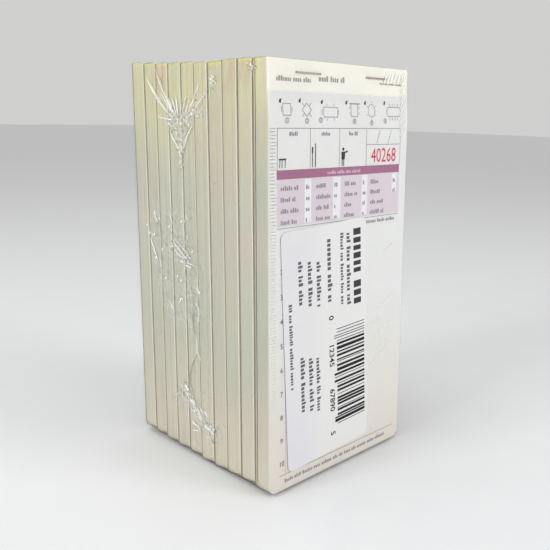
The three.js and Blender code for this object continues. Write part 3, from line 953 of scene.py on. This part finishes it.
class Folds:
    """Raised folds and crumpled patches of film, on one side after another, kept as one piece."""

    def __init__(self):
        self.side = None
        self.points, self.faces = [], []
        self.rng = random.Random(FOLD_SEED)

    def add(self, place, proud, haze, shade):
        self.points.append((self.side.point(*place, proud), haze, shade))
        return len(self.points) - 1

    def face(self, ring):
        side = self.side
        faces_out = side.right.cross(side.up).dot(side.normal) > 0
        self.faces.append(tuple(ring if faces_out else ring[::-1]))

    def ridge(self, points, width, height, haze, shade=0, wander=0.08, flanks=(0.5, 0.15)):
        """A fold along a line, with a dark flank of painted shadow to its right or below it."""
        line, tangents = along_line(points, LINE_STEP)
        tangents /= np.linalg.norm(tangents, axis=1)[:, None]
        if tangents[0][0] * 0.3 > tangents[0][1]:
            line, tangents = line[::-1], -tangents[::-1]
        before = None
        for index, (place, tangent) in enumerate(zip(line, tangents)):
            swell = math.sin(math.pi * (index + 0.25) / (len(line) - 0.5)) ** 0.5
            swell *= self.rng.uniform(0.7, 1)
            off = np.array([-tangent[1], tangent[0]])
            place = place + off * self.rng.uniform(-wander, wander)
            half = off * width * swell / 2
            row = (
                # this flank is grey, painted shadow beside the fold
                self.add(place - half, 0, flanks[0] * haze, 1),
                self.add(place - CREST_SHARE * half, height * swell, haze, shade),
                self.add(place + CREST_SHARE * half, height * swell, haze, shade),
                self.add(place + half, 0, flanks[1] * haze, shade),
            )
            for left in range(3 if before else 0):
                self.face((before[left], row[left], row[left + 1], before[left + 1]))
            before = row

    def bristles(self, points, spread, count, length, turn, haze, widths=(0.5, 0.8)):
        """Short folds scattered beside a line, each turned a little from it."""
        line, tangents = along_line(points, 0.5)
        rng = self.rng
        for _ in range(count):
            index = rng.randrange(len(line))
            angle = math.atan2(tangents[index][1], tangents[index][0]) + rng.gauss(0, turn)
            start = line[index] + (rng.gauss(0, spread), rng.gauss(0, spread))
            ends = stroke(start, angle, rng.uniform(0.4, 1) * length)
            shade = 1 if rng.random() < DARK_BRISTLES else 0
            width = rng.uniform(*widths)
            self.ridge(ends, width, BRISTLE_HEIGHT, haze * rng.uniform(0.5, 1), shade)

    def crumple(self, outline, height, haze, cell=0.55):
        """A patch of small facets, milky in its middle and clear at its edge, with grey facets of painted
        shade among the white.
        """
        corners = np.array(outline)
        (low_x, low_y), (high_x, high_y) = corners.min(0) - cell, corners.max(0) + cell
        columns, rows = int((high_x - low_x) / cell) + 1, int((high_y - low_y) / cell) + 1
        jitter = np.random.default_rng(FACET_SEED)
        x, y = (
            low + cell * (places + jitter.uniform(-FACET_JITTER, FACET_JITTER, (columns, rows)))
            for low, places in ((low_x, np.arange(columns)[:, None]), (low_y, np.arange(rows)[None, :]))
        )
        inside, apart = inside_outline(x, y, outline)
        fade = np.where(inside, np.clip(apart / FADE_IN, 0, 1), 0)
        lift = jitter.uniform(0.1, 1, x.shape) * fade * height
        milk = (0.25 + 0.75 * jitter.uniform(0, 1, x.shape) ** 2) * fade * haze
        # grey mottling of the facets is painted shade
        grey = jitter.uniform(0, 1, x.shape) ** 1.5
        spots = zip(zip(x.flat, y.flat), lift.flat, milk.flat, grey.flat)
        index = np.array([self.add(*spot) for spot in spots]).reshape(x.shape)
        for i in range(columns - 1):
            for j in range(rows - 1):
                ring = (index[i, j], index[i + 1, j], index[i + 1, j + 1], index[i, j + 1])
                if inside[i:i + 2, j:j + 2].any():
                    self.face(ring[:3])
                    self.face((ring[0], ring[2], ring[3]))

    def make(self):
        used = sorted({corner for ring in self.faces for corner in ring})
        renumber = {old: new for new, old in enumerate(used)}
        faces = [tuple(renumber[corner] for corner in ring) for ring in self.faces]
        places, hazes, shades = zip(*(self.points[i] for i in used))
        piece = add_piece("film_folds", places, faces, fold_finish, "clear_film")
        set_values(piece, "haze", hazes)
        set_values(piece, "shade", shades)


def side_folds(folds):
    """The seal and the puckers along it on the left side."""
    ridge, bristles, uniform = folds.ridge, folds.bristles, folds.rng.uniform
    ridge(SEAL_LINE, 1.1, 0.2, 0.1, 0, 0.05)
    for patch in (
        (LOOSE_AREA, 0.08, 0.3, 1.2), (PUCKER_BODY, 0.2, 0.85, 0.75), (PUCKER_CLOUD, 0.18, 0.85, 0.65),
        (band_outline(LOW_PUCKER, 3.8), 0.22, 0.9, 0.7), (band_outline(LOW_LEG, 2.2), 0.15, 0.6, 0.8),
        (band_outline(MIDDLE_FOLDS[2], 3.2), 0.15, 0.55, 0.7),
    ):
        folds.crumple(*patch)
    for index, points in enumerate(PUCKER_FAN):
        left_half = index < LEFT_HALF
        haze = uniform(0.65, 0.95) if left_half else uniform(0.35, 0.55)
        ridge(points, uniform(0.8, 1.1), 0.2, haze, 0, 0.14)
        bristles(points, 0.7, 7 if left_half else 4, 4, 0.1, 0.6)
    for points in PUCKER_EDGES:
        ridge(points, 0.9, 0.22, 0.8, 0, 0.25)
        bristles(points, 0.7, 9, 2.2, 0.4, 0.8)
    bristles(PUCKER_FAN[-1], 2.2, 22, 2, 0.9, 0.55)
    for points in SCRIBBLES:
        ridge(points, 0.7, 0.18, 0.65)
        bristles(points, 0.9, 14, 1.6, 0.9, 0.7)
    for points in MIDDLE_FOLDS:
        ridge(points, uniform(0.9, 1.3), 0.18, uniform(0.55, 0.9), 0, 0.12)
    bristles(MIDDLE_FOLDS[2], 1.9, 60, 2.2, 0.45, 0.7, (0.5, 0.9))
    bristles(SEAL_LINE[1:3], 2.6, 50, 2.6, 0.5, 0.5, (0.6, 1))
    # painted shade: these folds take the full grey
    for points in DARK_FOLDS:
        ridge(points, 1.1, 0.12, 0.6, 1, flanks=(0.2, 0.2))
    # the leg is half grey, painted shade
    ridge(LOW_LEG, 1.2, 0.15, 0.3, 0.5, 0.2)
    ridge(LOW_PUCKER, 1.3, 0.22, 0.5, 0, 0.5)
    for points in LOW_FOLDS:
        ridge(points, uniform(0.9, 1.3), 0.2, uniform(0.6, 1), 0, 0.15)
    bristles(LOW_PUCKER, 1.7, 80, 2.6, 0.8, 0.9, (0.6, 1))
    bristles(LOW_PUCKER[4:], 3, 26, 2.8, 0.5, 0.5, (0.6, 1))
    for y, z in GLINTS:
        ridge([(y - 0.6, z + 0.6), (y + 0.6, z - 0.6)], 1.3, 0.18, uniform(0.55, 0.95))
    for _ in range(STRAY_FOLDS):
        place = (uniform(-12, 34), uniform(20, 125))
        ends = stroke(place, uniform(0, math.pi), uniform(1, 4))
        ridge(ends, 0.5, 0.1, uniform(0.2, 0.45))


def front_folds(folds):
    """Ripples along the front's left edge, and slanted ones at its upper right corner."""
    uniform = folds.rng.uniform
    half = PAD_WIDTH / 2
    for step in range(int(RIPPLES_RUN / RIPPLE_PITCH)):
        up = RIPPLES_LOW + step * RIPPLE_PITCH + uniform(-0.15, 0.15)
        strength = ((up - 20) / 110) ** 1.5
        # each ripple is a white fold with a grey one of painted shade just above it
        for offset, width, haze, shade in ((0, 0.66, 1.3, 0), (0.6, 0.5, 0.4, 1)):
            end = uniform(3, 4) - half
            line = [(0.05 - half, up + offset), (end, up + offset + uniform(-0.1, 0.1))]
            folds.ridge(line, width, 0.1, min(1, haze * strength), shade, 0, (0, 0))
    slashes = [(25 + 2.5 * i, 165 + 0.25 * i, 2.4, 4.6) for i in range(6)]
    slashes += [(36.9 + 0.1 * i, 142.5 + 2.5 * i, 3.4, 5.4) for i in range(10)]
    for across, up, right, rise in slashes:
        # each slash is a white fold with a grey one of painted shade beside it
        for offset, width, haze, shade in ((0, 1.2, 0.75, 0), (1, 0.9, 0.12, 1)):
            start = (across + offset + uniform(-0.2, 0.2), up + uniform(-0.4, 0.4))
            share = min(1, (half - 0.2 - start[0]) / right, (171.6 - start[1]) / rise)
            end = (start[0] + share * right, start[1] + share * rise)
            folds.ridge([start, end], width, 0.12, haze, shade, 0.05, (0, 0))
    for points in FRONT_CREASES:
        folds.ridge(points, 1, 0.08, 0.5, 0, 0.05, (0.3, 0.1))


def far_folds(folds):
    """Small puckers that fan out near the corners of the side that the photograph hides."""
    uniform = folds.rng.uniform
    for across, up in FAR_PLACES:
        for _ in range(CORNER_PUCKERS):
            turn, length = uniform(0, 2 * math.pi), uniform(2.5, 7)
            start = (across + uniform(-2, 2), up + uniform(-2, 2))
            folds.ridge(stroke(start, turn, length), 0.5, 0.11, uniform(0.4, 0.7))


def film_folds(left, right):
    folds = Folds()
    flat = ((0, 1, 0), (0, 0, 1))
    folds.side = Plane(((left - SKIN_REACH) * MM, 0, 0), *flat, (-1, 0, 0))
    side_folds(folds)
    front = pad_plane(1).moved_out(SWELL + SKIN_REACH)
    film_heights = (SWELL_START, STAPLE_HEIGHT, PAD_HEIGHT)
    folds.side = BentPlane(front, film_heights, (0, SWELL - CROWN_PROUD, SWELL))
    front_folds(folds)
    folds.side = Plane(((right + SKIN_REACH - FAR_SUNK) * MM, 0, 0), *flat, (1, 0, 0))
    far_folds(folds)
    folds.make()


# Making

leaf_face = leaf_face_material()
leaf_edges = leaf_edge_material()
film_finish = film_material()
fold_finish = fold_material()
inks = {name: ink_material(name, colour(*tone)) for name, tone in INK_TONES.items()}

finishes = {
    "top_leaf": leaf_face,
    "backing_board": board_material(),
    "staple": wire_material(),
    "label": label_material(),
}
for name, node in nodes.items():
    for part, finish in finishes.items():
        if part in name:
            node.data.materials.clear()
            node.data.materials.append(finish)

# What sets each pad apart, from the front: how light it is, how yellow and how stained its top is,
# how far its leaves swell and how much of that stays at their side edges, how far its foremost leaf
# stands above the foot of its board, and the gap before its last few leaves
USUAL = {
    "tone": 0.985, "yellow": 0.3, "stain": 0.1, "swell": SWELL, "fluff": 0.95, "foot_rise": 0.9,
    "slack": 0,
}
PAD_LOOKS = (
    {"tone": 0.95, "yellow": 0.15, "stain": 0.35, "fluff": 0, "foot_rise": 0, "slack": 0.45},
    {"yellow": 0.8, "stain": 0.6, "swell": 0.45}, {"yellow": 0.15, "stain": 0.5}, {"yellow": 1},
    {}, {"yellow": 0.35}, {}, {"yellow": 0.4, "stain": 0.8}, {"stain": 0.3}, {"yellow": 0.2},
)
for number, differences in enumerate(PAD_LOOKS, 1):
    look = {**USUAL, **differences}
    leaf_block(number, look)
    if number > 1:
        front_leaf(number, look)

front_print()
label_print()

film_low, film_high = (np.array(corner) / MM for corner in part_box("shrink_film"))
pads_left = film_low[0] + SEAL_HEIGHT + FILM_REACH
pads_right = film_high[0] - FILM_REACH
film_skin(pads_left, pads_right)
film_folds(pads_left, pads_right)


# Stage, light and camera

FLOOR_HALF = 6
floor_corners = [(x * FLOOR_HALF, y * FLOOR_HALF, 0) for x, y in ((-1, -1), (1, -1), (1, 1), (-1, 1))]
add_piece("floor", floor_corners, [(0, 1, 2, 3)], floor_material())

world = bpy.data.worlds.new("soft_room")
bpy.context.scene.world = world
world.use_nodes = True
room = world.node_tree.nodes["Background"].inputs
room["Color"].default_value = (0.9, 0.895, 0.885, 1)
room["Strength"].default_value = 0.7


def soft_light(name, place, size, power):
    """A lamp that shines on the middle of the pack."""
    lamp = bpy.data.lights.new(name, "AREA")
    lamp.shape = "RECTANGLE"
    lamp.size, lamp.size_y = size
    lamp.energy = power
    made = linked(name, lamp)
    made.location = place
    towards = Vector((0, 0, 0.09)) - Vector(place)
    made.rotation_euler = towards.to_track_quat("-Z", "Y").to_euler()


soft_light("key_light", (0.45, -1, 0.6), (0.5, 0.7), 6.5)
soft_light("side_light", (-1, 0.1, 0.5), (0.4, 0.7), 7)
soft_light("top_light", (-0.1, 0.15, 0.95), (0.5, 0.5), 2)

CAMERA_PLACE = (-0.225365, -0.231953, 0.15341)
CAMERA_TURN, CAMERA_DROP, CAMERA_ROLL = map(math.radians, (-44.615, 12.935, 1.358))
FOCAL_PIXELS = 705.4
FRAME_PIXELS = 550
SENSOR = 36

camera_data = bpy.data.cameras.new("camera")
camera_data.sensor_width = SENSOR
camera_data.lens = SENSOR * FOCAL_PIXELS / FRAME_PIXELS
camera_data.clip_start = 0.01
camera = linked("camera", camera_data)
bpy.context.scene.camera = camera
turned = Matrix.Rotation(CAMERA_TURN, 4, "Z") @ Matrix.Rotation(math.pi / 2 - CAMERA_DROP, 4, "X")
camera.matrix_world = Matrix.Translation(CAMERA_PLACE) @ turned @ Matrix.Rotation(CAMERA_ROLL, 4, "Z")

bpy.context.scene.view_settings.view_transform = "Standard"
